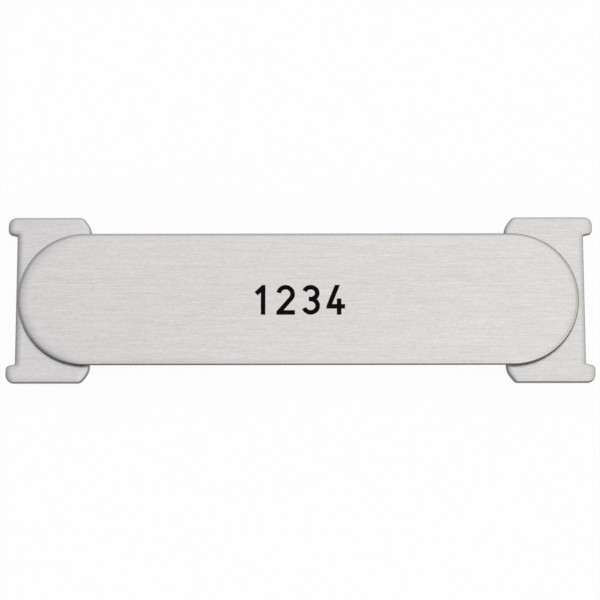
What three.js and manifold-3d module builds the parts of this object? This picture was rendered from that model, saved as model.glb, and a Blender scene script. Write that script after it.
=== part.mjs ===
// Name plate with a lift-off face: a round-ended engraved plate that hooks over two end brackets.
// Millimetres. The plate lies on its back: +X runs along it, +Y to its top edge, +Z out of its face.
// The origin is the middle of the back, on the surface that the plate is fixed to.

import * as THREE from "three";
import { mergeVertices } from "three/addons/utils/BufferGeometryUtils.js";
import Module from "manifold-3d";

// Face plate: sheet with half-round ends and a rounded front edge.
const faceLength = 76.35;
const faceHeight = 18.25;
const faceThickness = 0.8;
const faceEdgeRadius = 0.5;

// End brackets: flat stampings, each with a bar across its top and bottom that ends in an ear.
const bracketThickness = 1.2;
const bracketEdgeRadius = 0.4;
const columnMargin = 0.575; // from the end of the face to the column's outer edge
const earReach = 1.25; // from the column's outer edge to the end of an ear
const earWidth = 2.25; // at its end
const earTaper = 0.3; // by which it is wider at the column
const earMargin = 0.125; // from the line of the face's long edge to the end of the ear
const leftBarLength = 10.15; // from the column's outer edge to a bar's inner end
const rightBarLength = 10.85;
const barChamferAlong = 1.2; // at a bar's inner end, measured along the bar
const barChamferAcross = 1.5;
const tongueLength = 16.5; // from the column's outer edge to the end of the hidden tongue
const tongueInset = 0.875; // from the line of the face's long edge to the tongue's edge
const recessFillet = 0.15;
const tongueFillet = 0.6;

// Outside corners of a bracket: the radius of its flat front, inside the rounded edge.
const earOuterCorner = 0.7;
const earInnerCorner = 0.2;
const barBlend = 0.5; // where a bar's chamfer meets its long edge
const tipBlend = 2; // where the chamfer meets the bar's inner end
const tongueCorner = 1.1;

// Headed studs on the back of the face, and the keyholes that they hook into.
const studInset = 6.45; // from the column's outer edge to the stud's axis
const neckDiameter = 2;
const headLap = 0.92; // of the head behind the bracket, at each side of the slot
const headThickness = 0.45;
const headChamfer = 0.12;
const headGap = 0.1; // between the head and the back of the bracket
const pilotDiameter = 1.5;
const pilotLength = 0.45; // of the end that is pressed into the face
const pilotClearance = 0.03;
const slotClearance = 0.38; // round the neck, in its slot
const entryClearance = 0.45; // round the head, in its entry hole
const slotLength = 0.95; // from the entry hole's edge to the middle of the slot's end
const restAngle = 211.5; // degrees from +X: the side to which the face has settled in its slots
const restGap = 0.03; // left there between the neck and the slot's edge

// Slip washers that keep the face off the brackets.
const faceGap = 0.6;
const washerWidth = 1.4; // from the bore to the rim
const washerThickness = 0.5;
const washerClearance = 0.1; // round the neck

// Countersunk holes for fixing screws, hidden by the face.
const screwHoleDiameter = 2.9;
const screwHeadDiameter = 4.6;
const screwSpacing = 9.2;
const screwInset = 3.6; // from the end of the tongue to the holes' axes

// Foam pad behind each bracket.
const padThickness = 0.8;
const padInset = 0.6; // from the bracket's edge
const padCorner = 1.5;
const padWindowClearance = 0.35; // round the head, wherever it has settled
const padHoleClearance = 0.3; // round a screw hole

// Engraved number, filled with enamel.
const digits = [1, 2, 3, 4];
const digitHeight = 4.1;
const digitWidth = 2.5;
const digitPitch = 3.4;
const digitDrop = 0.25; // from the middle of the face down to the middle of the number
const strokeWidth = 0.6;
const engravingDepth = 0.25;
const enamelDip = 0.02; // from the face to the top of the enamel
const enamelClearance = 0.02;

// Facets in a bracket's corner, a half-round end, a turned piece, a rounded edge and a digit's bowl.
const cornerSteps = 6;
const endSteps = 36;
const turnSteps = 32;
const edgeSteps = 3;
const bowlSteps = 20;

// Heights above the back, and distances from the middle of the plate.
const bracketZ = padThickness;
const faceZ = bracketZ + bracketThickness + faceGap;
const columnX = faceLength / 2 + columnMargin;
const tongueX = columnX - tongueLength;
const studX = columnX - studInset;
const screwX = tongueX + screwInset;
const recessY = faceHeight / 2 + earMargin;
const topY = recessY + earWidth;
const tongueY = faceHeight / 2 - tongueInset;

// Keyhole: its slot's lower end is centred on y = 0, and its entry hole on entryY.
const slotRadius = neckDiameter / 2 + slotClearance;
const headRadius = slotRadius + headLap;
const entryRadius = headRadius + entryClearance;
const entryY = entryRadius + slotLength;
const restShift = new THREE.Vector2(slotClearance - restGap, 0)
  .rotateAround(new THREE.Vector2(), THREE.MathUtils.degToRad(restAngle));

const overrun = 1; // how far a cutter runs past what it cuts

const steel = new THREE.MeshStandardMaterial({ color: 0xd2cecb, roughness: 0.38, metalness: 1 });
const studSteel = new THREE.MeshStandardMaterial({ color: 0xb9bbbd, roughness: 0.3, metalness: 1 });
const nylon = new THREE.MeshStandardMaterial({ color: 0xe9e7e0, roughness: 0.55, metalness: 0 });
const foam = new THREE.MeshStandardMaterial({ color: 0x3a3b3d, roughness: 0.95, metalness: 0 });
const enamel = new THREE.MeshStandardMaterial({ color: 0x0a0a0b, roughness: 0.35, metalness: 0 });

const wasm = await Module();
wasm.setup();

// A closed geometry as a solid that can be cut and joined.
function solidFrom(geometry) {
  const bare = geometry.clone();
  bare.deleteAttribute("normal");
  bare.deleteAttribute("uv");
  const merged = mergeVertices(bare, 1e-5);
  const vertProperties = new Float32Array(merged.attributes.position.array);
  const triVerts = new Uint32Array(merged.index.array);
  return new wasm.Manifold(new wasm.Mesh({ numProp: 3, vertProperties, triVerts }));
}

function geometryFrom(solid) {
  const { vertProperties, triVerts } = solid.getMesh();
  const indexed = new THREE.BufferGeometry();
  indexed.setAttribute("position", new THREE.BufferAttribute(vertProperties, 3));
  indexed.setIndex(new THREE.BufferAttribute(triVerts, 1));
  const faceted = indexed.toNonIndexed();
  faceted.computeVertexNormals();
  return faceted;
}

// An outline carried straight up from z = 0, with arcSteps facets in each of its arcs.
function extruded(outline, depth, arcSteps) {
  return new THREE.ExtrudeGeometry(outline, { depth, curveSegments: arcSteps / 2, bevelEnabled: false });
}

// An upright cylinder or cone frustum whose lower end is at z.
function upright(lowerRadius, upperRadius, height, x, y, z) {
  const geometry = new THREE.CylinderGeometry(upperRadius, lowerRadius, height, turnSteps);
  return geometry.rotateX(Math.PI / 2).translate(x, y, z + height / 2);
}

// A piece turned about the z axis from a profile of [radius, z].
function turned(profile) {
  const points = profile.map(([radius, z]) => new THREE.Vector2(radius, z));
  return new THREE.LatheGeometry(points, turnSteps).rotateX(Math.PI / 2);
}

// A closed outline through corners given as [x, y, radius], each rounded by an arc tangent to its sides.
function roundedOutline(corners) {
  const shape = new THREE.Shape();
  corners.forEach(([x, y, radius], i) => {
    const corner = new THREE.Vector2(x, y);
    const [beforeX, beforeY] = corners.at(i - 1);
    const [afterX, afterY] = corners[(i + 1) % corners.length];
    const toBefore = new THREE.Vector2(beforeX, beforeY).sub(corner).normalize();
    const toAfter = new THREE.Vector2(afterX, afterY).sub(corner).normalize();
    const halfAngle = Math.acos(toBefore.dot(toAfter)) / 2;
    const setback = radius / Math.tan(halfAngle);
    const middle = toBefore.clone().add(toAfter).normalize();
    const centre = corner.clone().addScaledVector(middle, radius / Math.sin(halfAngle));
    const start = corner.clone().addScaledVector(toBefore, setback).sub(centre);
    const end = corner.clone().addScaledVector(toAfter, setback).sub(centre);
    const clockwise = toBefore.cross(toAfter) > 0;
    shape.absarc(centre.x, centre.y, radius, start.angle(), end.angle(), clockwise);
  });
  return shape;
}

// The corners given for the upper half of the right end, made whole and put on the given side.
function endOutline(upperCorners, side) {
  const upper = upperCorners.map(([x, y, radius]) => [side * x, y, radius]);
  const lower = upperCorners.map(([x, y, radius]) => [side * x, -y, radius]).reverse();
  return roundedOutline([...upper, ...lower]);
}

// A straight-sided outline with half-round ends, from one end's centre to the other's.
function roundEnded(fromX, fromY, toX, toY, radius) {
  const along = Math.atan2(toY - fromY, toX - fromX);
  const shape = new THREE.Shape();
  shape.absarc(toX, toY, radius, along - Math.PI / 2, along + Math.PI / 2, false);
  shape.absarc(fromX, fromY, radius, along + Math.PI / 2, along + (3 * Math.PI) / 2, false);
  return shape;
}

// A flat plate on z = 0 whose front edge is rounded and whose back edge is square.
function plate(outline, thickness, edgeRadius, arcSteps) {
  const blank = new THREE.ExtrudeGeometry(outline, {
    depth: thickness,
    curveSegments: arcSteps / 2,
    bevelThickness: edgeRadius,
    bevelSize: edgeRadius,
    bevelOffset: -edgeRadius,
    bevelSegments: edgeSteps,
  });
  blank.translate(0, 0, -edgeRadius);
  blank.computeBoundingBox();
  const size = blank.boundingBox.getSize(new THREE.Vector3());
  const middle = blank.boundingBox.getCenter(new THREE.Vector3());
  const block = new THREE.BoxGeometry(size.x + overrun, size.y + overrun, thickness * 2);
  block.translate(middle.x, middle.y, thickness);
  return solidFrom(blank).intersect(solidFrom(block));
}

function bracket(side, barLength) {
  const barX = columnX - barLength;
  const outline = endOutline([
    [columnX, recessY - earTaper, recessFillet],
    [columnX + earReach, recessY, bracketEdgeRadius + earInnerCorner],
    [columnX + earReach, topY, bracketEdgeRadius + earOuterCorner],
    [barX + barChamferAlong, topY, bracketEdgeRadius + barBlend],
    [barX, topY - barChamferAcross, bracketEdgeRadius + tipBlend],
    [barX, tongueY, tongueFillet],
    [tongueX, tongueY, bracketEdgeRadius + tongueCorner],
  ], side);
  const x = side * studX;
  const depth = bracketThickness + 2 * overrun;
  const slot = extruded(roundEnded(x, 0, x, entryY, slotRadius), depth, turnSteps / 2);
  const entry = upright(entryRadius, entryRadius, depth, x, entryY, -overrun);
  let solid = plate(outline, bracketThickness, bracketEdgeRadius, cornerSteps)
    .subtract(solidFrom(slot.translate(0, 0, -overrun)))
    .subtract(solidFrom(entry));
  for (const y of [-screwSpacing / 2, screwSpacing / 2]) {
    solid = solid.subtract(screwCutter(side * screwX, y));
  }
  return geometryFrom(solid);
}

// A through hole with a 90-degree countersink in the front of the bracket.
function screwCutter(x, y) {
  const holeRadius = screwHoleDiameter / 2;
  const sinkDepth = (screwHeadDiameter - screwHoleDiameter) / 2;
  const sinkHeight = sinkDepth + overrun;
  const sinkZ = bracketThickness - sinkDepth;
  const hole = upright(holeRadius, holeRadius, bracketThickness + 2 * overrun, x, y, -overrun);
  const sink = upright(holeRadius, holeRadius + sinkHeight, sinkHeight, x, y, sinkZ);
  return solidFrom(hole).add(solidFrom(sink));
}

// The pad lies inside the bracket's outline, with a window that the stud's head moves in.
function pad(side, barLength) {
  const barX = columnX - barLength;
  const padY = topY - padInset;
  const outline = endOutline([
    [columnX - padInset, padY, padCorner],
    [barX + padInset, padY, padCorner],
    [barX + padInset, tongueY - padInset, tongueFillet],
    [tongueX + padInset, tongueY - padInset, padCorner],
  ], side);
  const x = side * studX;
  const windowRadius = headRadius + restShift.length() + padWindowClearance;
  const holeRadius = screwHoleDiameter / 2 + padHoleClearance;
  outline.holes.push(roundEnded(x, 0, x, entryY, windowRadius));
  for (const y of [-screwSpacing / 2, screwSpacing / 2]) {
    outline.holes.push(new THREE.Path().absarc(side * screwX, y, holeRadius, 0, 2 * Math.PI, false));
  }
  return extruded(outline, padThickness, turnSteps / 2);
}

// A stud in its own frame: z = 0 is the back of the face, and the neck hangs below it.
function stud() {
  const headTop = -(faceGap + bracketThickness + headGap);
  const headBottom = headTop - headThickness;
  return turned([
    [0, headBottom],
    [headRadius - headChamfer, headBottom],
    [headRadius, headBottom + headChamfer],
    [headRadius, headTop],
    [neckDiameter / 2, headTop],
    [neckDiameter / 2, 0],
    [pilotDiameter / 2, 0],
    [pilotDiameter / 2, pilotLength],
    [0, pilotLength],
  ]);
}

// A washer in the same frame, flush under the back of the face.
function washer() {
  const inner = neckDiameter / 2 + washerClearance;
  const outer = inner + washerWidth;
  return turned([
    [inner, -washerThickness],
    [outer, -washerThickness],
    [outer, 0],
    [inner, 0],
    [inner, -washerThickness],
  ]);
}

// The centre lines of a digit's strokes, from the lower left corner of their box, w wide and h high.
// A stroke that ends on the digit's edge runs past it, and is trimmed there.
function digitStrokes(digit, w, h) {
  const past = strokeWidth;
  const line = (...points) => points.map(([x, y]) => new THREE.Vector2(x, y));
  const bowl = (y, radiusX, radiusY, from, to) => {
    const start = THREE.MathUtils.degToRad(from);
    const end = THREE.MathUtils.degToRad(to);
    return new THREE.EllipseCurve(w / 2, y, radiusX, radiusY, start, end, true).getPoints(bowlSteps);
  };
  if (digit === 1) {
    return [line([0.18 * w, 0.74 * h], [0.68 * w, h], [0.68 * w, -past])];
  }
  if (digit === 2) {
    const radius = w / 2;
    const centreY = h - radius;
    const lean = Math.atan2(centreY, radius) - Math.asin(radius / Math.hypot(centreY, radius));
    const tangent = THREE.MathUtils.radToDeg(lean) - 90;
    return [[...bowl(centreY, radius, radius, 170, tangent), ...line([0, 0], [w + past, 0])]];
  }
  if (digit === 3) {
    const upper = 0.235 * h;
    const lower = h / 2 - upper;
    const waist = line([0.36 * w, 2 * lower]);
    return [
      [...bowl(h - upper, 0.47 * w, upper, 160, -90), ...waist],
      [...waist, ...bowl(lower, w / 2, lower, 90, -160)],
    ];
  }
  const barY = 0.24 * h;
  const slope = (h - barY) / (0.56 * w);
  return [
    line([0.56 * w + past / slope, h + past], [0, barY], [w + past, barY]),
    line([0.74 * w, 0.55 * h], [0.74 * w, -past]),
  ];
}

// The outline of one stroke: its centre line offset to both sides, with mitred corners and flat ends.
function strokeOutline(points, width) {
  const along = (i) => points[i + 1].clone().sub(points[i]).normalize();
  const last = points.length - 1;
  const offsets = points.map((point, i) => {
    const before = along(Math.max(i - 1, 0));
    const after = along(Math.min(i, last - 1));
    const middle = before.clone().add(after).normalize();
    const reach = width / 2 / middle.dot(after);
    return new THREE.Vector2(-middle.y, middle.x).multiplyScalar(reach);
  });
  const left = points.map((point, i) => point.clone().add(offsets[i]));
  const right = points.map((point, i) => point.clone().sub(offsets[i]));
  return new THREE.Shape([...left, ...right.reverse()]);
}

// One digit in its place in the row, standing on z = 0, grown all round by a margin.
function digitSolid(digit, margin, depth) {
  const w = digitWidth - strokeWidth;
  const h = digitHeight - strokeWidth;
  const x = (digits.indexOf(digit) - (digits.length - 1) / 2) * digitPitch;
  const box = new THREE.BoxGeometry(digitWidth + 2 * margin, digitHeight + 2 * margin, depth);
  return digitStrokes(digit, w, h)
    .map((points) => extruded(strokeOutline(points, strokeWidth + 2 * margin), depth, 2))
    .map((geometry) => solidFrom(geometry.translate(x - w / 2, -digitDrop - h / 2, 0)))
    .reduce((all, stroke) => all.add(stroke))
    .intersect(solidFrom(box.translate(x, -digitDrop, depth / 2)));
}

// The face in its own frame: z = 0 is its back.
function facePlate() {
  const endX = (faceLength - faceHeight) / 2;
  const outline = roundEnded(-endX, 0, endX, 0, faceHeight / 2);
  let solid = plate(outline, faceThickness, faceEdgeRadius, endSteps);
  const radius = pilotDiameter / 2 + pilotClearance;
  const height = pilotLength + pilotClearance + overrun;
  for (const side of [-1, 1]) {
    solid = solid.subtract(solidFrom(upright(radius, radius, height, side * studX, 0, -overrun)));
  }
  for (const digit of digits) {
    const groove = digitSolid(digit, enamelClearance, engravingDepth + overrun);
    solid = solid.subtract(groove.translate([0, 0, faceThickness - engravingDepth]));
  }
  return geometryFrom(solid);
}

function named(name, geometry, material, x, y, z) {
  const mesh = new THREE.Mesh(geometry, material);
  mesh.name = name;
  mesh.position.set(x, y, z);
  return mesh;
}

// The lift-off face with its studs and washers, hooked over the brackets.
function face() {
  const group = new THREE.Group();
  group.position.set(restShift.x, restShift.y, faceZ);
  group.add(named("face_plate", facePlate(), steel, 0, 0, 0));
  for (const [end, side] of [["left", -1], ["right", 1]]) {
    group.add(named(`${end}_stud`, stud(), studSteel, side * studX, 0, 0));
    group.add(named(`${end}_washer`, washer(), nylon, side * studX, 0, 0));
  }
  for (const digit of digits) {
    const inlay = geometryFrom(digitSolid(digit, 0, engravingDepth - enamelDip));
    group.add(named(`enamel_digit_${digit}`, inlay, enamel, 0, 0, faceThickness - engravingDepth));
  }
  return group;
}

// The brackets, and the pads that they are stuck down with.
function base() {
  const group = new THREE.Group();
  for (const [end, side, barLength] of [["left", -1, leftBarLength], ["right", 1, rightBarLength]]) {
    group.add(named(`${end}_bracket`, bracket(side, barLength), steel, 0, 0, bracketZ));
    group.add(named(`${end}_foam_pad`, pad(side, barLength), foam, 0, 0, 0));
  }
  return group;
}

const namePlate = new THREE.Group();
namePlate.add(base(), face());

export default namePlate;
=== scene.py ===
# A small brushed steel plate that carries the number 1234, hooked over two flat end brackets.
# Metres. It lies on its back: +X runs along it, +Y to its top edge, +Z out of its face.

import math

import bpy
import numpy as np
from mathutils import Matrix, Vector
from mathutils.geometry import delaunay_2d_cdt


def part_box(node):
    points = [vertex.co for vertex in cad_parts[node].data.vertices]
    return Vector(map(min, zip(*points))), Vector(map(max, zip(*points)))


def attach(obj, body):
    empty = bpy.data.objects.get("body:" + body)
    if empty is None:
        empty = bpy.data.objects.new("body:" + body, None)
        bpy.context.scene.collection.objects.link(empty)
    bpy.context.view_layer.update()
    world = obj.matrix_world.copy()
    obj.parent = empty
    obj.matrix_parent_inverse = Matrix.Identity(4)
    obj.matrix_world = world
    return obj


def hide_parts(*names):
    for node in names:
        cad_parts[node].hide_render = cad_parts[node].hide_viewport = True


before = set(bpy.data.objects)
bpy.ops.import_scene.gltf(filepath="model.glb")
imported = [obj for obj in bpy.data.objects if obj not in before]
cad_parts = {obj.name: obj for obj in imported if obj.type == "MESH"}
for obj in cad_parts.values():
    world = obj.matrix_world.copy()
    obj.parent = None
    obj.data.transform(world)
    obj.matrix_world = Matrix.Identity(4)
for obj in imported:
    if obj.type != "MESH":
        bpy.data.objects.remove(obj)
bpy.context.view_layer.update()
mm = 0.001
print("frame loaded:", len(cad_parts), "pieces")

limits = {
    "samePoint": 1e-8,  # metres apart at which two points are one
    "sameLevel": 1e-7,  # metres apart at which two heights are one
    "samePointInFill": 1e-7,  # the same in millimetres, where flat sides are filled
    "leastRadius": 0.03 * mm,  # of the inset rim at a tight outside corner
}


# Outlines run with the metal on their left, so an outside edge runs anticlockwise and a hole clockwise.
# Each arc is [centre x, centre y, radius, start, end], angles in degrees, and straight lines join the arcs.
# point = centre + radius (cos angle, sin angle), at angles no more than a step apart.
def outlineOf(arcs, step):
    points, outward = [], []
    for x, y, radius, start, end in arcs:
        count = max(1, math.ceil(abs(end - start) / step)) + 1
        angle = np.radians(np.linspace(start, end, count))
        ray = np.stack([np.cos(angle), np.sin(angle)], 1)
        points.append(np.array([x, y]) + radius * ray)
        outward.append(ray * math.copysign(1, end - start))
    points, outward = np.concatenate(points), np.concatenate(outward)
    # Arcs that touch share a point.
    apart = np.linalg.norm(points - np.roll(points, 1, 0), axis=1) > limits["samePoint"]
    return points[apart], outward[apart]


# At a corner: its first direction at length 1, the turn to its second one in radians, and the way from the
# corner to the middle of an arc of radius 1 that touches both sides.
def turnAt(arriving, leaving):
    arriving, leaving = arriving / np.hypot(*arriving), leaving / np.hypot(*leaving)
    turn = math.atan2(arriving[0] * leaving[1] - arriving[1] * leaving[0], arriving @ leaving)
    return arriving, turn, (leaving - arriving) / np.hypot(*(leaving - arriving)) / math.cos(turn / 2)


# Arcs tangent to both sides of each corner [x, y, radius] of an outline, and the arcs of a rim that lies
# inset from them all round. An outside corner too tight for that keeps a least radius there.
def roundedCorners(corners, inset):
    spots = np.array([corner[:2] for corner in corners], float)
    outer, inner = [], []
    for i, (spot, radius) in enumerate(zip(spots, [corner[2] for corner in corners])):
        arriving, turn, inwards = turnAt(spot - spots[i - 1], spots[(i + 1) % len(spots)] - spot)
        side = math.copysign(1, turn)
        start = math.degrees(math.atan2(-arriving[0] * side, arriving[1] * side))
        end = start + math.degrees(turn)
        outer.append([*(spot + radius * inwards), radius, start, end])
        innerSpot = spot + side * inset * inwards
        innerRadius = max(radius - side * inset, limits["leastRadius"])
        inner.append([*(innerSpot + innerRadius * inwards), innerRadius, start, end])
    return outer, inner


# An outline through rounded corners. Its outward vectors, times the inset, reach back to it from the inset
# rim, so they are longer than 1 at a tight corner.
def outlineThrough(corners, inset, step):
    outer, inner = roundedCorners(corners, inset)
    points, innerPoints = outlineOf(outer, step)[0], outlineOf(inner, step)[0]
    return points, (points - innerPoints) / inset


# A path of [out, height, radius] corners, seen in section. Each piece of it is a straight line or a part
# of an arc, and keeps the lean of its surface at both of its ends, so that a sharp corner stays sharp. The
# lean is the angle of the surface's normal above level. On an arc, point = centre + radius (cos lean,
# sin lean), with a minus at a hollow corner.
def sectionOf(corners, step=9.0, closed=False):
    spots = np.array([corner[:2] for corner in corners], float)
    count = len(spots)
    rings, leans = [], []

    def lean(direction):
        return math.atan2(-direction[0], direction[1])

    for i, (out, height, radius) in enumerate(corners):
        atEnd = not closed and i in (0, count - 1)
        arriving = spots[i] - spots[i - 1]
        leaving = spots[(i + 1) % count] - spots[i]
        if radius == 0 or atEnd:
            inLean = lean(leaving) if i == 0 and not closed else lean(arriving)
            rings.append([out, height])
            leans.append([inLean, lean(leaving) if not (atEnd and i) else inLean])
            continue
        arriving, turn, inwards = turnAt(arriving, leaving)
        centre = spots[i] + radius * inwards
        steps = max(2, math.ceil(abs(math.degrees(turn)) / step))
        angles = lean(arriving) + turn * np.linspace(0, 1, steps + 1)
        ray = np.stack([np.cos(angles), np.sin(angles)], 1)
        rings.extend(centre + math.copysign(radius, turn) * ray)
        leans.extend(np.stack([angles, angles], 1))
    return np.array(rings, float), np.array(leans, float)


# The section of a punched sheet: a broken back edge, an upright wall, and a front edge that is rolled over
# along the sum of two quarter ellipses, a wide shallow crown and a tight edge. At a distance d in from the
# wall each ellipse drops the front by down (1 - sin t), where cos t = 1 - d / across.
def sheetSection(low, high, values):
    rolls = (values["crown"], values["edge"])
    wallTop = high - sum(down for _, down in rolls)
    backRim = -3 * values["backBreak"]  # well past the broken edge
    rings, leans = sectionOf([[backRim, low, 0], [0, low, values["backBreak"]], [0, wallTop, 0]])
    quarterTurn = np.linspace(0, math.pi / 2, values["rollPoints"])
    d = values["crown"][0] * (1 - np.cos(quarterTurn))[1:]
    height, slope = np.full(len(d), high), np.zeros(len(d))
    for across, down in rolls:
        cosine = np.clip(1 - d / across, 0, 1)
        sine = np.sqrt(1 - cosine ** 2)
        height = height - down * (1 - sine)
        slope = slope + down / across * cosine / sine
    lean = np.arctan2(1, slope)
    rings = np.concatenate([rings, np.stack([-d, height], 1)])
    return rings, np.concatenate([leans, np.stack([lean, lean], 1)])


# Triangles that fill the flat region between closed loops. Of a triangulation of all their points it keeps
# the triangles from whose middle a line to the right crosses the loops an odd number of times.
def filledBetween(loops):
    flat = np.concatenate(loops) / mm
    ends = np.concatenate([np.roll(loop, -1, 0) for loop in loops]) / mm
    sizes = [len(loop) for loop in loops]
    first = np.repeat(np.cumsum([0] + sizes[:-1]), sizes)
    following = first + (np.arange(len(flat)) - first + 1) % np.repeat(sizes, sizes)
    spots, edges = [Vector(p) for p in flat.tolist()], list(enumerate(following.tolist()))
    insideOnly = 1
    _, _, faces, origins, _, _ = delaunay_2d_cdt(spots, edges, [], insideOnly, limits["samePointInFill"])
    triangles = np.array([origin[0] for origin in origins])[np.array(faces)]
    x, y = flat[triangles].mean(1).T[:, :, None]
    spans = (flat[:, 1] > y) != (ends[:, 1] > y)
    rise = np.where(ends[:, 1] == flat[:, 1], 1, ends[:, 1] - flat[:, 1])  # a level side spans nothing
    crossing = flat[:, 0] + (y - flat[:, 1]) / rise * (ends[:, 0] - flat[:, 0])
    triangles = triangles[(spans & (crossing > x)).sum(1) % 2 == 1]
    a, b, c = flat[triangles].transpose(1, 0, 2)
    area = (b[:, 0] - a[:, 0]) * (c[:, 1] - a[:, 1]) - (b[:, 1] - a[:, 1]) * (c[:, 0] - a[:, 0])
    return np.where(area[:, None] > 0, triangles, triangles[:, ::-1])


# Gathers surfaces that share their rims into one closed mesh, with the exact normal at every corner.
class Shell:
    def __init__(self):
        self.points = np.zeros((0, 3))
        self.faces, self.normals = [], []

    def addPoints(self, points):
        first = len(self.points)
        self.points = np.concatenate([self.points, points])
        return first + np.arange(len(points))

    # A section carried along an outline: point = outline + out times outward, at the section's height.
    # It gives back its first and its last rim.
    def carry(self, outline, outward, rings, leans, closed=False):
        along = outline[None] + rings[:, :1, None] * outward[None]
        height = np.broadcast_to(rings[:, 1, None, None], along.shape[:2] + (1,))
        grid = np.concatenate([along, height], 2)
        index = self.addPoints(grid.reshape(-1, 3)).reshape(grid.shape[:2])
        upper = np.roll(index, -1, 0) if closed else index[1:]
        lower = index if closed else index[:-1]
        quads = np.stack([lower, np.roll(lower, -1, 1), np.roll(upper, -1, 1), upper], 2)
        start = leans[:, 1] if closed else leans[:-1, 1]
        end = np.roll(leans[:, 0], -1) if closed else leans[1:, 0]

        def facing(angles):
            across = np.cos(angles)[:, None, None] * (outward / (outward ** 2).sum(1)[:, None])[None]
            up = np.broadcast_to(np.sin(angles)[:, None, None], across.shape[:2] + (1,))
            both = np.concatenate([across, up], 2)
            return both / np.linalg.norm(both, axis=2, keepdims=True)

        low, high = facing(start), facing(end)
        corner = np.stack([low, np.roll(low, -1, 1), np.roll(high, -1, 1), high], 2)
        self.faces.extend(quads.reshape(-1, 4).tolist())
        self.normals.append(corner.reshape(-1, 3))
        return index[0], index[-1]

    # An upright wall on an outline, between two heights.
    def wall(self, outline, outward, low, high):
        return self.carry(outline, outward, np.array([[0, low], [0, high]]), np.zeros((2, 2)))

    # A flat fill between rims that are there already, facing up or down.
    def fill(self, rims, up):
        index = np.concatenate(rims)
        triangles = index[filledBetween([self.points[rim, :2] for rim in rims])]
        triangles = triangles if up else triangles[:, ::-1]
        self.faces.extend(triangles.tolist())
        self.normals.append(np.tile([0.0, 0.0, 1.0 if up else -1.0], (triangles.size, 1)))

    # Makes the mesh and its object, which rides on a body and stands for a CAD node.
    def finished(self, name, material, body, node):
        mesh = bpy.data.meshes.new(name)
        mesh.from_pydata(self.points.tolist(), [], self.faces)
        mesh.shade_smooth()
        mesh.normals_split_custom_set(np.concatenate(self.normals).tolist())
        mesh.materials.append(material)
        piece = bpy.data.objects.new(name, mesh)
        bpy.context.scene.collection.objects.link(piece)
        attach(piece, body)
        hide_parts(node)
        return piece


# One output in a material's nodes. Arithmetic on it adds Math nodes.
class Wire:
    def __init__(self, finish, socket):
        self.finish, self.socket = finish, socket

    def __add__(self, other):
        return self.finish.worked("ADD", self, other)

    def __sub__(self, other):
        return self.finish.worked("SUBTRACT", self, other)

    def __rsub__(self, other):
        return self.finish.worked("SUBTRACT", other, self)

    def __mul__(self, other):
        return self.finish.worked("MULTIPLY", self, other)

    def __truediv__(self, other):
        return self.finish.worked("DIVIDE", self, other)

    def __pow__(self, other):
        return self.finish.worked("POWER", self, other)

    __radd__ = __add__
    __rmul__ = __mul__


# The nodes of a material or the world, and the one way in which they are added.
class Finish:
    def __init__(self, owner):
        self.owner = owner
        self.owner.use_nodes = True
        self.tree = self.owner.node_tree
        self.tree.nodes.clear()

    def add(self, kind, settings=None, inputs=None, output=0):
        node = self.tree.nodes.new(kind)
        for key, value in (settings or {}).items():
            if key == "stops":
                while len(node.color_ramp.elements) < len(value):
                    node.color_ramp.elements.new(0.5)
                for element, (position, *colour) in zip(node.color_ramp.elements, value):
                    element.position, element.color = position, (*colour, 1)
            else:
                setattr(node, key, value)
        for key, value in (inputs or {}).items():
            if isinstance(value, Wire):
                self.tree.links.new(value.socket, node.inputs[key])
            else:
                node.inputs[key].default_value = value
        return Wire(self, node.outputs[output]) if node.outputs else None

    def worked(self, operation, *values):
        return self.add("ShaderNodeMath", {"operation": operation}, dict(enumerate(values)))

    # The x, y and z of a vector.
    def separated(self, vector):
        x = self.add("ShaderNodeSeparateXYZ", None, {0: vector})
        return [Wire(self, output) for output in x.socket.node.outputs]

    def end(self, shader, kind="ShaderNodeOutputMaterial"):
        self.add(kind, None, {"Surface": shader})
        return self.owner

    # Ends a material with its shader, whose normal comes from a height that is relief metres deep.
    def surfaced(self, colour, roughness, height, relief, others=None):
        bump = self.add("ShaderNodeBump", None, {"Strength": 1.0, "Distance": relief, "Height": height})
        inputs = {"Base Color": colour, "Roughness": roughness, "Normal": bump, **(others or {})}
        return self.end(self.add("ShaderNodeBsdfPrincipled", None, inputs))


def newFinish(name):
    return Finish(bpy.data.materials.new(name))


# Noise round 0.5. Its values are its grains a metre along x, y and z, its detail and its roughness.
def grains(finish, values, offset=(0, 0, 0)):
    density, detail, roughness = values
    place = finish.add("ShaderNodeTexCoord", None, None, "Object")
    spread = finish.add("ShaderNodeMapping", None, {"Vector": place, "Scale": density, "Location": offset})
    return finish.add("ShaderNodeTexNoise", None, {
        "Vector": spread, "Scale": 1.0, "Detail": detail, "Roughness": roughness})


def smoothed(finish, value, low, high):
    settings = {"interpolation_type": "SMOOTHSTEP"}
    return finish.add("ShaderNodeMapRange", settings, {0: value, 1: low, 2: high})


def blended(finish, share, first, second, way="MIX"):
    settings = {"data_type": "RGBA", "clamp_factor": True, "blend_type": way}
    first, second = [(*colour, 1) if isinstance(colour, tuple) else colour for colour in (first, second)]
    return finish.add("ShaderNodeMix", settings, {0: share, 6: first, 7: second}, 2)


# The deep and the pale tone of a colour.
def tones(colour, spread):
    return [tuple(c * share for c in colour) for share in (1 - spread, 1 + spread)]


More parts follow.
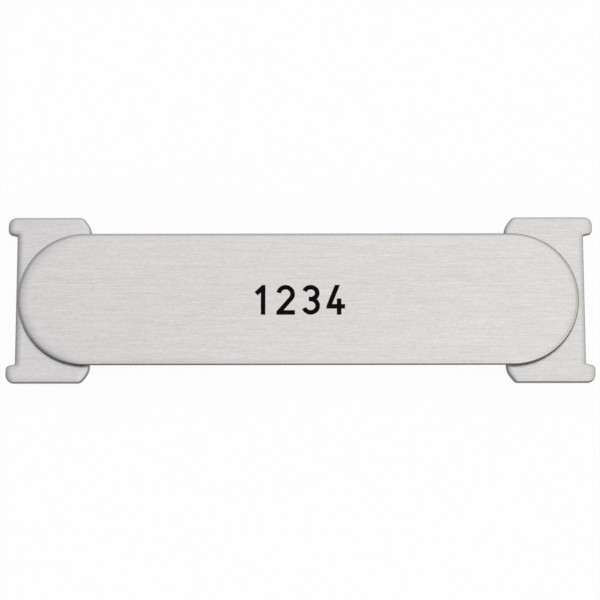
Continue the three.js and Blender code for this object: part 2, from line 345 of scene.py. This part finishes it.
# Brushed sheet: long streaks along x with shorter threads and fine specks in them and a few deeper
# scratches. Its sheared edge and the steep part of its rolled rim are rough and dark, partly as a duller
# sheared metal and partly as painted shade for the dark rim lines and the shadow in the gap under the face.
# Its back is dull and cloudy, and darker partly as painted shade under the plate.
def brushedSheet(name, look):
    finish = newFinish(name)
    kinds = ("streakGrains", "threadGrains", "speckGrains", "cloudGrains", "scratchGrains")
    streak, thread, speck, cloud, scratch = [grains(finish, look[kind], look["offset"]) for kind in kinds]
    scratch = smoothed(finish, scratch, look["scratchFrom"], look["scratchTo"])
    facing = finish.separated(finish.add("ShaderNodeTexCoord", None, None, "Normal"))[2]
    # The edge mask: the sheared wall and the steep part of the rolled rim, where the colour is darkened
    # partly as painted shade.
    edge = smoothed(finish, 1 - finish.worked("ABSOLUTE", facing), look["edgeFrom"], look["edgeTo"])
    # The back mask: surfaces facing down, whose colour is darkened partly as painted shade under the plate.
    back = smoothed(finish, 0 - facing, look["backFrom"], look["backTo"])
    grain = (streak - 0.5) * look["streak"] + (thread - 0.5) * look["thread"]
    grain = grain + (speck - 0.5) * look["speck"] + (cloud - 0.5) * look["cloud"]
    grain = grain - scratch * look["scratch"] + 0.5
    sheet = blended(finish, grain, *tones(look["colour"], look["spread"]))
    # The edge colour: partly a duller sheared metal, partly painted shade that darkens the rims and the gap
    # under the face.
    shearing = grains(finish, look["edgeGrains"])
    shearedAndShadedEdge = blended(finish, shearing, *tones(look["edgeAndShadeColour"], look["edgeSpread"]))
    # The back's colour: a dull unbrushed finish, darker partly as painted shade under the plate.
    dullAndShadedBack = blended(finish, cloud, *tones(look["backAndShadeColour"], look["backSpread"]))
    colour = blended(finish, edge, blended(finish, back, sheet, dullAndShadedBack), shearedAndShadedEdge)
    rough = look["roughness"] + (streak - 0.5) * look["roughSpread"] + edge * look["edgeRoughness"]
    rough = rough + back * look["backRoughness"]
    height = streak * look["streakDepth"] + thread * look["threadDepth"] - scratch * look["scratchDepth"]
    height = height * (1 - edge) + shearing * edge
    return finish.surfaced(colour, rough, height, look["relief"], {"Metallic": 1 - edge * look["edgeDull"]})


faceLook = {
    "colour": (0.70, 0.672, 0.664),
    "spread": 0.16,  # of the grain's pale and deep tones from the colour
    # Each kind of grain: its noise, how much of it shows, and how deep it is as a share of the relief.
    "streakGrains": ((70, 4200, 4200), 2.0, 0.6), "streak": 0.72, "streakDepth": 0.6,
    "threadGrains": ((450, 7500, 7500), 2.0, 0.5), "thread": 0.7, "threadDepth": 0.4,
    "speckGrains": ((2200, 9000, 9000), 1.0, 0.5), "speck": 0.95,
    "cloudGrains": ((35, 60, 60), 1.0, 0.5), "cloud": 0.2,
    "scratchGrains": ((60, 5600, 5600), 1.0, 0.5), "scratch": 0.3, "scratchDepth": 0.3,
    "scratchFrom": 0.66, "scratchTo": 0.78,  # of its noise
    "roughness": 0.27, "roughSpread": 0.1,
    # From and to: how far the surface has turned away from up and down, from 0 to 1.
    "edgeGrains": ((5200, 5200, 500), 3.0, 0.6), "edgeFrom": 0.13, "edgeTo": 0.55,
    # The edge colour is partly painted shade: dark lines along the rims and the shadow in the gap under the
    # face.
    "edgeAndShadeColour": (0.14, 0.137, 0.137), "edgeSpread": 0.25, "edgeRoughness": 0.4, "edgeDull": 0.2,
    # From and to: how far the surface faces down, from 0 to 1.
    "backFrom": 0.6, "backTo": 0.9,
    # The back colour is darker than the front, partly as painted shade under the plate.
    "backAndShadeColour": (0.38, 0.372, 0.368), "backSpread": 0.2, "backRoughness": 0.2,
    "relief": 3e-6,
    "offset": (0, 0, 0),  # of the grain, in grains
}
# The brackets' edges are paler than the face's, whose darker edge colour is painted shadow of the gap under
# the face.
bracketLook = dict(faceLook, colour=(0.679, 0.665, 0.662), edgeAndShadeColour=(0.25, 0.245, 0.245),
                   offset=(7.3, 2.1, 5.7))

faceSteel = brushedSheet("brushedFaceSteel", faceLook)
bracketSteel = brushedSheet("brushedBracketSteel", bracketLook)
print("brushed steel made")


# Closed rims of the parts of a CAD node's surface that lie flat at its highest z, outermost rim first.
def rimsOnTop(node):
    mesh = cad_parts[node].data
    spots = np.zeros(len(mesh.vertices) * 3, np.float32)
    mesh.vertices.foreach_get("co", spots)
    corners = np.zeros(len(mesh.loops), np.int32)
    mesh.loops.foreach_get("vertex_index", corners)
    spots = np.round(spots.reshape(-1, 3).astype(float), decimals=8)
    spots, number = np.unique(spots, axis=0, return_inverse=True)
    triangles = number.ravel()[corners].reshape(-1, 3)
    onTop = triangles[(spots[triangles, 2] > spots[:, 2].max() - limits["sameLevel"]).all(1)]
    sides = np.concatenate([onTop[:, [0, 1]], onTop[:, [1, 2]], onTop[:, [2, 0]]])
    directed = {tuple(side) for side in sides.tolist()}
    following = dict(side for side in directed if side[::-1] not in directed)
    rims = []
    while following:
        start, spot = next(iter(following.items()))
        rim = [start]
        del following[start]
        while spot != start:
            rim.append(spot)
            spot = following.pop(spot)
        rims.append(spots[rim, :2])
    return sorted(rims, key=lambda rim: -np.ptp(rim[:, 0]))


# Outward normals of a rim of straight lines, halfway between those of its two sides at each point.
def outwardOf(rim):
    along = np.roll(rim, -1, 0) - rim
    right = np.stack([along[:, 1], -along[:, 0]], 1) / np.linalg.norm(along, axis=1)[:, None]
    both = right + np.roll(right, 1, 0)
    return both / np.linalg.norm(both, axis=1)[:, None]


def middleOf(low, high):
    return (low.x + high.x) / 2, (low.y + high.y) / 2


# In each piece's dictionary a step is the most degrees from one point of a curve to the next.
face = {
    "crown": (1.6 * mm, 0.26 * mm), "edge": (0.5 * mm, 0.3 * mm),  # across and down
    "rollPoints": 31, "backBreak": 0.08 * mm,
    "grooveDepth": 0.25 * mm,
    "pocketRadius": 0.78 * mm, "pocketDepth": 0.48 * mm,
    "endStep": 1.5, "pocketStep": 10,
}


# The face: a half-round-ended outline that carries a section with a rolled front edge, with a groove
# for each digit and a pocket for each stud.
def makeFace():
    low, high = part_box("face_plate")
    middleX, middleY = middleOf(low, high)
    radius = (high.y - low.y) / 2
    reach = (high.x - low.x) / 2 - radius
    shell = Shell()
    outline, outward = outlineOf([[middleX + reach, middleY, radius, -90, 90],
                                  [middleX - reach, middleY, radius, 90, 270]], face["endStep"])
    backRim, frontRim = shell.carry(outline, outward, *sheetSection(low.z, high.z, face))
    front, back, floors = [frontRim], [backRim], []
    for rim in rimsOnTop("face_plate")[1:]:
        down, up = shell.wall(rim, outwardOf(rim), high.z - face["grooveDepth"], high.z)
        floors.append(down)
        front.append(up)
    shell.fill(floors, True)
    shell.fill(front, True)
    for node in ("left_stud", "right_stud"):
        pocket = [*middleOf(*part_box(node)), face["pocketRadius"], 360, 0]
        rim, roof = shell.wall(*outlineOf([pocket], face["pocketStep"]), low.z, low.z + face["pocketDepth"])
        back.append(rim)
        shell.fill([roof], False)
    shell.fill(back, False)
    shell.finished("facePlate", faceSteel, "face", "face_plate")


makeFace()
print("face made")


bracket = {
    "crown": (0.95 * mm, 0.26 * mm), "edge": (0.25 * mm, 0.22 * mm),  # across and down
    "rollPoints": 25, "backBreak": 0.08 * mm,
    "earReach": 1.25 * mm, "earWidth": 2.25 * mm, "earTaper": 0.3 * mm,
    "earOuterRadius": 1.1 * mm, "earInnerRadius": 0.6 * mm, "recessRadius": 0.15 * mm,
    "leftBar": 10.15 * mm, "rightBar": 10.85 * mm,
    "chamferAlong": 1.2 * mm, "chamferAcross": 1.5 * mm, "chamferRadius": 0.9 * mm, "tipRadius": 2.4 * mm,
    "tongueLength": 16.5 * mm, "tongueWidth": 16.5 * mm, "tongueRadius": 1.5 * mm, "tongueFillet": 0.6 * mm,
    "studInset": 6.45 * mm, "slotRadius": 1.38 * mm, "entryRadius": 2.75 * mm, "entryRise": 3.7 * mm,
    "neckFillet": 0.2 * mm,
    "screwInset": 3.6 * mm, "screwSpacing": 9.2 * mm, "screwRadius": 1.45 * mm, "sinkDepth": 0.85 * mm,
    "holeBreak": 0.06 * mm,
    "outlineStep": 5, "keyholeStep": 6, "screwStep": 5, "breakStep": 22,
}
screwHeights = (-bracket["screwSpacing"] / 2, bracket["screwSpacing"] / 2)


# Puts an outline's corners, given for the upper half of the right end, on both halves of one side.
def endCorners(upper, side):
    corners = [[side * x, y, r] for x, y, r in upper] + [[side * x, -y, r] for x, y, r in reversed(upper)]
    return corners if side > 0 else corners[::-1]


# A keyhole's rim: a round-bottomed slot that opens upwards into a round hole, with its necks eased.
def keyholeArcs(x):
    slot, entry = bracket["slotRadius"], bracket["entryRadius"]
    rise, ease = bracket["entryRise"], bracket["neckFillet"]
    drop = math.sqrt((entry + ease) ** 2 - (slot + ease) ** 2)
    lean = math.degrees(math.atan2(drop, slot + ease))
    return [[x, 0, slot, 0, -180],
            [x - slot - ease, rise - drop, ease, 0, lean],
            [x, rise, entry, 180 + lean, -lean],
            [x + slot + ease, rise - drop, ease, 180 - lean, 180]]


def barLength(side):
    return bracket["rightBar" if side > 0 else "leftBar"]


# A bracket: its outline carries a section with a rolled front edge, its keyhole one with broken edges and
# its two screw holes one that opens into a countersink.
def makeBracket(side, name, node):
    low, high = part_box(node)
    endX, topY = high.x if side > 0 else -low.x, high.y
    columnX = endX - bracket["earReach"]
    barX, recessY = columnX - barLength(side), topY - bracket["earWidth"]
    tongueX, tongueY = columnX - bracket["tongueLength"], bracket["tongueWidth"] / 2
    shell = Shell()
    corners = endCorners([
        [columnX, recessY - bracket["earTaper"], bracket["recessRadius"]],
        [endX, recessY, bracket["earInnerRadius"]],
        [endX, topY, bracket["earOuterRadius"]],
        [barX + bracket["chamferAlong"], topY, bracket["chamferRadius"]],
        [barX, topY - bracket["chamferAcross"], bracket["tipRadius"]],
        [barX, tongueY, bracket["tongueFillet"]],
        [tongueX, tongueY, bracket["tongueRadius"]]], side)
    outline, outward = outlineThrough(corners, bracket["crown"][0], bracket["outlineStep"])
    rims = [shell.carry(outline, outward, *sheetSection(low.z, high.z, bracket))]
    ease = bracket["holeBreak"]
    back, front = [-2 * ease, low.z, 0], [-2 * ease, high.z, 0]
    keyhole = outlineOf(keyholeArcs(side * (columnX - bracket["studInset"])), bracket["keyholeStep"])
    section = sectionOf([back, [0, low.z, ease], [0, high.z, ease], front], bracket["breakStep"])
    rims.append(shell.carry(*keyhole, *section))
    sink = bracket["sinkDepth"]
    section = sectionOf([back, [0, low.z, ease], [0, high.z - sink, ease], [-sink, high.z, ease],
                         [-sink - 2 * ease, high.z, 0]], bracket["breakStep"])
    for y in screwHeights:
        hole = [side * (tongueX + bracket["screwInset"]), y, bracket["screwRadius"], 360, 0]
        rims.append(shell.carry(*outlineOf([hole], bracket["screwStep"]), *section))
    shell.fill([rim[0] for rim in rims], False)
    shell.fill([rim[1] for rim in rims], True)
    shell.finished(name, bracketSteel, "brackets", node)


makeBracket(-1, "leftBracket", "left_bracket")
makeBracket(1, "rightBracket", "right_bracket")
print("brackets made")


enamelLook = {
    "waveGrains": ((2600, 2600, 2600), 2.0, 0.5),
    "deep": (0.0012, 0.0012, 0.0014), "pale": (0.0030, 0.0030, 0.0034),
    "roughness": 0.35, "roughSpread": 0.2, "shine": 0.05, "relief": 2e-6,
}


# Black enamel, hardly shining, with a faint waviness.
def blackEnamel(look):
    finish = newFinish("blackEnamel")
    wave = grains(finish, look["waveGrains"])
    colour = blended(finish, wave, look["deep"], look["pale"])
    rough = look["roughness"] + wave * look["roughSpread"]
    return finish.surfaced(colour, rough, wave, look["relief"], {"Specular IOR Level": look["shine"]})


enamel = blackEnamel(enamelLook)
for digit in (1, 2, 3, 4):
    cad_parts[f"enamel_digit_{digit}"].material_slots[0].material = enamel
print("digits finished")


turnedLook = {
    "rings": 9000,  # a metre
    "ringDetail": 2.0,
    "deep": (0.45, 0.44, 0.44), "pale": (0.66, 0.65, 0.645),
    "roughness": 0.24, "roughSpread": 0.16, "relief": 4e-6,
}


# Turned steel: rings round the stud's own axis, cut by the tool.
def turnedSteel(name, x, y, look):
    finish = newFinish(name)
    place = finish.add("ShaderNodeTexCoord", None, None, "Object")
    centred = finish.add("ShaderNodeMapping", None, {"Vector": place, "Location": (-x, -y, 0)})
    across, up, height = finish.separated(centred)
    radius = (across * across + up * up) ** 0.5
    rings = finish.add("ShaderNodeTexNoise", {"noise_dimensions": "1D"}, {
        "W": (radius + height) * look["rings"], "Scale": 1.0, "Detail": look["ringDetail"]})
    colour = blended(finish, rings, look["deep"], look["pale"])
    rough = look["roughness"] + rings * look["roughSpread"]
    return finish.surfaced(colour, rough, rings, look["relief"], {"Metallic": 1.0})


stud = {
    "headRadius": 2.3 * mm, "headChamfer": 0.12 * mm, "headHeight": 0.45 * mm,
    "neckRadius": 1.0 * mm, "pilotRadius": 0.75 * mm,
    "markRadius": 0.3 * mm, "markDepth": 0.18 * mm, "markTip": 0.06 * mm,
    "ease": 0.04 * mm,
    "roundStep": 5, "easeStep": 15,
}


# The upright axis through the middle of a box and the rays out of it, which carry a section of radius and
# height round it.
def roundAxis(low, high, step):
    rays = outlineOf([[0, 0, 1, 0, 360]], step)[1]
    return np.tile(middleOf(low, high), (len(rays), 1)), rays


# A stud: a section of radius and height carried round its axis, from the centre mark in its head up to the
# end in the face.
def makeStud(name, node):
    low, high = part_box(node)
    headTop, shoulder = low.z + stud["headHeight"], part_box("face_plate")[0].z
    ease = stud["ease"]
    section = sectionOf([
        [stud["markTip"], low.z + stud["markDepth"], 0],
        [stud["markRadius"], low.z, 0],
        [stud["headRadius"] - stud["headChamfer"], low.z, ease],
        [stud["headRadius"], low.z + stud["headChamfer"], ease],
        [stud["headRadius"], headTop, ease],
        [stud["neckRadius"], headTop, ease],
        [stud["neckRadius"], shoulder, ease],
        [stud["pilotRadius"], shoulder, 0],
        [stud["pilotRadius"], high.z, ease],
        [stud["pilotRadius"] / 2, high.z, 0]], stud["easeStep"])
    shell = Shell()
    bottom, top = shell.carry(*roundAxis(low, high, stud["roundStep"]), *section)
    shell.fill([bottom], False)
    shell.fill([top], True)
    steel = turnedSteel(name + "Steel", *middleOf(low, high), turnedLook)
    shell.finished(name, steel, "face", node)


makeStud("leftStud", "left_stud")
makeStud("rightStud", "right_stud")
print("studs made")


nylonLook = {
    "cloudGrains": ((700, 700, 700), 2.0, 0.5), "fineGrains": ((5000, 5000, 5000), 2.0, 0.5),
    "deep": (0.72, 0.69, 0.60), "pale": (0.84, 0.82, 0.76),
    "roughness": 0.42, "roughSpread": 0.2, "relief": 4e-6,
    "clear": 0.2, "clearDepth": 0.5 * mm,  # how much light goes into it, and how far
}


# Natural nylon, cloudy and slightly waxy.
def naturalNylon(look):
    finish = newFinish("naturalNylon")
    cloud, fine = grains(finish, look["cloudGrains"]), grains(finish, look["fineGrains"])
    colour = blended(finish, cloud, look["deep"], look["pale"])
    rough = look["roughness"] + fine * look["roughSpread"]
    clear = {"Subsurface Weight": look["clear"], "Subsurface Scale": look["clearDepth"]}
    return finish.surfaced(colour, rough, fine, look["relief"], clear)


washer = {"bore": 1.1 * mm, "radius": 2.5 * mm, "ease": 0.1 * mm, "roundStep": 5, "easeStep": 30}
nylon = naturalNylon(nylonLook)


# A washer: a closed section with eased corners, carried round its axis.
def makeWasher(name, node):
    low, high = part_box(node)
    bore, radius, ease = washer["bore"], washer["radius"], washer["ease"]
    section = sectionOf([[bore, low.z, ease], [radius, low.z, ease], [radius, high.z, ease],
                         [bore, high.z, ease]], washer["easeStep"], closed=True)
    shell = Shell()
    shell.carry(*roundAxis(low, high, washer["roundStep"]), *section, closed=True)
    shell.finished(name, nylon, "face", node)


makeWasher("leftWasher", "left_washer")
makeWasher("rightWasher", "right_washer")
print("washers made")


foamLook = {
    "cells": 6500.0,  # a metre
    "mottleGrains": ((900, 900, 900), 3.0, 0.6),
    "cellShare": 0.8, "mottleShare": 0.6,  # of the colour's change
    "deep": (0.018, 0.018, 0.020), "pale": (0.060, 0.061, 0.064),
    "roughness": 0.9, "relief": 5e-5,
    "filmFrom": 0.86, "filmTo": 0.93,  # of the way from the pad's middle to its flat sides
    "filmColour": (0.16, 0.155, 0.14), "filmShare": 0.8, "filmGloss": 0.45,
}


# Closed-cell foam tape: small cut cells, and a paler film of glue on its two flat sides.
def foamTape(thickness, look):
    finish = newFinish("foamTape")
    place = finish.add("ShaderNodeTexCoord", None, None, "Object")
    cells = finish.add("ShaderNodeTexVoronoi", None, {"Vector": place, "Scale": look["cells"]}, "Distance")
    mottle = grains(finish, look["mottleGrains"])
    height = finish.separated(place)[2]
    fromMiddle = finish.worked("ABSOLUTE", height / thickness * 2 - 1)
    film = smoothed(finish, fromMiddle, look["filmFrom"], look["filmTo"])
    change = cells * look["cellShare"] + (mottle - 0.5) * look["mottleShare"]
    foam = blended(finish, change, look["deep"], look["pale"])
    colour = blended(finish, film * look["filmShare"], foam, look["filmColour"])
    rough = look["roughness"] - film * look["filmGloss"]
    return finish.surfaced(colour, rough, cells * (1 - film), look["relief"])


pad = {
    "inset": 0.6 * mm, "corner": 1.5 * mm, "fillet": 0.6 * mm,
    "bulge": 0.05 * mm, "sideRings": 9,
    "windowRadius": 3.0 * mm, "screwHole": 1.75 * mm,
    "outlineStep": 6, "windowStep": 5, "screwStep": 8,
}
foam = foamTape(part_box("left_foam_pad")[1].z, foamLook)


# A pad: cut sides that swell a little between its flat faces. out = -bulge * u * u, where u runs from -1
# at the back to 1 at the front.
def makePad(side, name, node):
    low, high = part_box(node)
    outX, topY = high.x if side > 0 else -low.x, high.y
    columnX = outX + pad["inset"]
    barX = columnX - barLength(side) + pad["inset"]
    tongueX = columnX - bracket["tongueLength"] + pad["inset"]
    tongueY = bracket["tongueWidth"] / 2 - pad["inset"]
    u = np.linspace(-1, 1, pad["sideRings"])
    middle, half = (low.z + high.z) / 2, (high.z - low.z) / 2
    rings = np.stack([-pad["bulge"] * u * u, middle + half * u], 1)
    lean = np.arctan2(2 * pad["bulge"] * u, half)
    leans = np.stack([lean, lean], 1)
    corners = endCorners([
        [outX, topY, pad["corner"]],
        [barX, topY, pad["corner"]],
        [barX, tongueY, pad["fillet"]],
        [tongueX, tongueY, pad["corner"]]], side)
    studX, window = side * (columnX - bracket["studInset"]), pad["windowRadius"]
    windowArcs = [[studX, 0, window, 0, -180], [studX, bracket["entryRise"], window, 180, 0]]
    outlines = [outlineThrough(corners, pad["bulge"], pad["outlineStep"]),
                outlineOf(windowArcs, pad["windowStep"])]
    screwX = side * (tongueX - pad["inset"] + bracket["screwInset"])
    for y in screwHeights:
        outlines.append(outlineOf([[screwX, y, pad["screwHole"], 360, 0]], pad["screwStep"]))
    shell = Shell()
    rims = [shell.carry(*outline, rings, leans) for outline in outlines]
    shell.fill([rim[0] for rim in rims], False)
    shell.fill([rim[1] for rim in rims], True)
    piece = shell.finished(name, foam, "brackets", node)


makePad(-1, "leftFoamPad", "left_foam_pad")
makePad(1, "rightFoamPad", "right_foam_pad")
print("pads made")


studio = {
    "floorReach": 3.0,
    "floorDrop": 0.02 * mm,  # below the object's back
    "floorWhite": 0.95,  # share of the floor that shows plain white, the rest takes light and shadow
    "floorColour": (0.94, 0.94, 0.94),
    "skyLevel": 1.71,
    # The sky's colour is the product of four ramps of places and colours. They run along x, along y, along
    # x + y from the corner that is lowest in both, and along x - y from the corner with low x and high y.
    "skyAcross": [(0, 0.22, 0.22, 0.225), (0.13, 0.45, 0.45, 0.465), (0.29, 0.58, 0.58, 0.6),
                  (0.35, 0.67, 0.67, 0.695), (0.4, 0.775, 0.775, 0.81), (0.45, 0.865, 0.865, 0.9),
                  (0.5, 0.955, 0.955, 0.955), (0.55, 1, 1, 0.97), (0.62, 0.95, 0.95, 0.92),
                  (0.75, 0.74, 0.74, 0.72), (0.88, 0.62, 0.62, 0.6), (1, 0.72, 0.72, 0.7)],
    "skyAlong": [(0, 1, 1, 1), (0.15, 0.98, 0.98, 0.98), (0.5, 1, 1, 1),
                 (0.8, 1, 1, 1), (0.92, 0.8, 0.8, 0.8), (1, 0.6, 0.6, 0.6)],
    "skyLeftCorner": [(0, 0.55, 0.55, 0.55), (0.12, 0.9, 0.9, 0.9), (0.2, 1, 1, 1)],
    "skyRightCorner": [(0.7, 0.59, 0.59, 0.59), (0.85, 0.74, 0.74, 0.74), (1, 1, 1, 1)],
    "boxSize": 1.2, "boxPlace": (0.25, 0.30, 0.95), "boxWatts": 0.48,
}


# The floor shows white to the eye and in the metal, mixed with a plain surface that keeps the shadow.
def paleFloor():
    finish = newFinish("paleFloor")
    seen = finish.add("ShaderNodeLightPath", None, None, "Is Camera Ray")
    for ray in ("Is Glossy Ray", "Is Transmission Ray"):
        seen = finish.worked("MAXIMUM", seen, finish.add("ShaderNodeLightPath", None, None, ray))
    plain = finish.add("ShaderNodeBsdfDiffuse", None, {"Color": (*studio["floorColour"], 1)})
    white = finish.add("ShaderNodeEmission", None, {"Color": (1, 1, 1, 1), "Strength": 1.0})
    seen = seen * studio["floorWhite"]
    return finish.end(finish.add("ShaderNodeMixShader", None, {0: seen, 1: plain, 2: white}))


def makeFloor():
    reach, z = studio["floorReach"], -studio["floorDrop"]
    corners = [(-reach, -reach, z), (reach, -reach, z), (reach, reach, z), (-reach, reach, z)]
    mesh = bpy.data.meshes.new("paleFloor")
    mesh.from_pydata(corners, [], [(0, 1, 2, 3)])
    mesh.materials.append(paleFloor())
    floor = bpy.data.objects.new("paleFloor", mesh)
    bpy.context.scene.collection.objects.link(floor)


def makeSky():
    finish = Finish(bpy.data.worlds.new("softSky"))
    x, y, _ = finish.separated(finish.add("ShaderNodeTexCoord", None, None, "Generated"))
    diagonal = math.sqrt(0.125)  # brings x + y and x - y to -0.5 to 0.5
    places = {"skyAcross": x * 0.5 + 0.5, "skyAlong": y * 0.5 + 0.5,
              "skyLeftCorner": (x + y) * diagonal + 0.5, "skyRightCorner": (x - y) * diagonal + 0.5}
    colour = (1, 1, 1)
    for name, place in places.items():
        ramp = finish.add("ShaderNodeValToRGB", {"stops": studio[name]}, {0: place})
        colour = blended(finish, 1.0, colour, ramp, "MULTIPLY")
    light = finish.add("ShaderNodeBackground", None, {"Color": colour, "Strength": studio["skyLevel"]})
    bpy.context.scene.world = finish.end(light, "ShaderNodeOutputWorld")


def makeSoftBox():
    lamp = bpy.data.lights.new("softBox", "AREA")
    lamp.shape = "SQUARE"
    lamp.size = studio["boxSize"]
    lamp.energy = studio["boxWatts"]
    box = bpy.data.objects.new("softBox", lamp)
    box.location = studio["boxPlace"]
    box.rotation_euler = (-Vector(studio["boxPlace"])).to_track_quat("-Z", "Y").to_euler()
    bpy.context.scene.collection.objects.link(box)


makeFloor()
makeSky()
makeSoftBox()

camera = {
    "tilt": 12.408, "distance": 0.35613,  # degrees from straight above, and metres to the brackets' front
    "turn": -0.07,  # degrees about its own line of sight
    "pictureWidth": 600, "focalLength": 2614.0, "shift": (-0.344, -1.1),  # pixels
    "sensor": 36,  # millimetres
    "nearest": 0.01, "furthest": 20,  # metres from it, between which it sees
}


def makeCamera():
    tilt, width = math.radians(camera["tilt"]), camera["pictureWidth"]
    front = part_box("left_bracket")[1].z
    lens = bpy.data.cameras.new("photoCamera")
    lens.sensor_width = camera["sensor"]
    lens.lens = camera["focalLength"] / width * lens.sensor_width
    lens.shift_x, lens.shift_y = (pixels / width for pixels in camera["shift"])
    lens.clip_start, lens.clip_end = camera["nearest"], camera["furthest"]
    eye = bpy.data.objects.new("photoCamera", lens)
    place = Vector((0, -camera["distance"] * math.sin(tilt), front + camera["distance"] * math.cos(tilt)))
    turn = Matrix.Rotation(math.radians(camera["turn"]), 4, "Z")
    eye.matrix_world = Matrix.Translation(place) @ Matrix.Rotation(tilt, 4, "X") @ turn
    bpy.context.scene.collection.objects.link(eye)
    bpy.context.scene.camera = eye


makeCamera()
bpy.context.scene.view_settings.view_transform = "Standard"
print("studio and camera made")

bpy.context.view_layer.update()
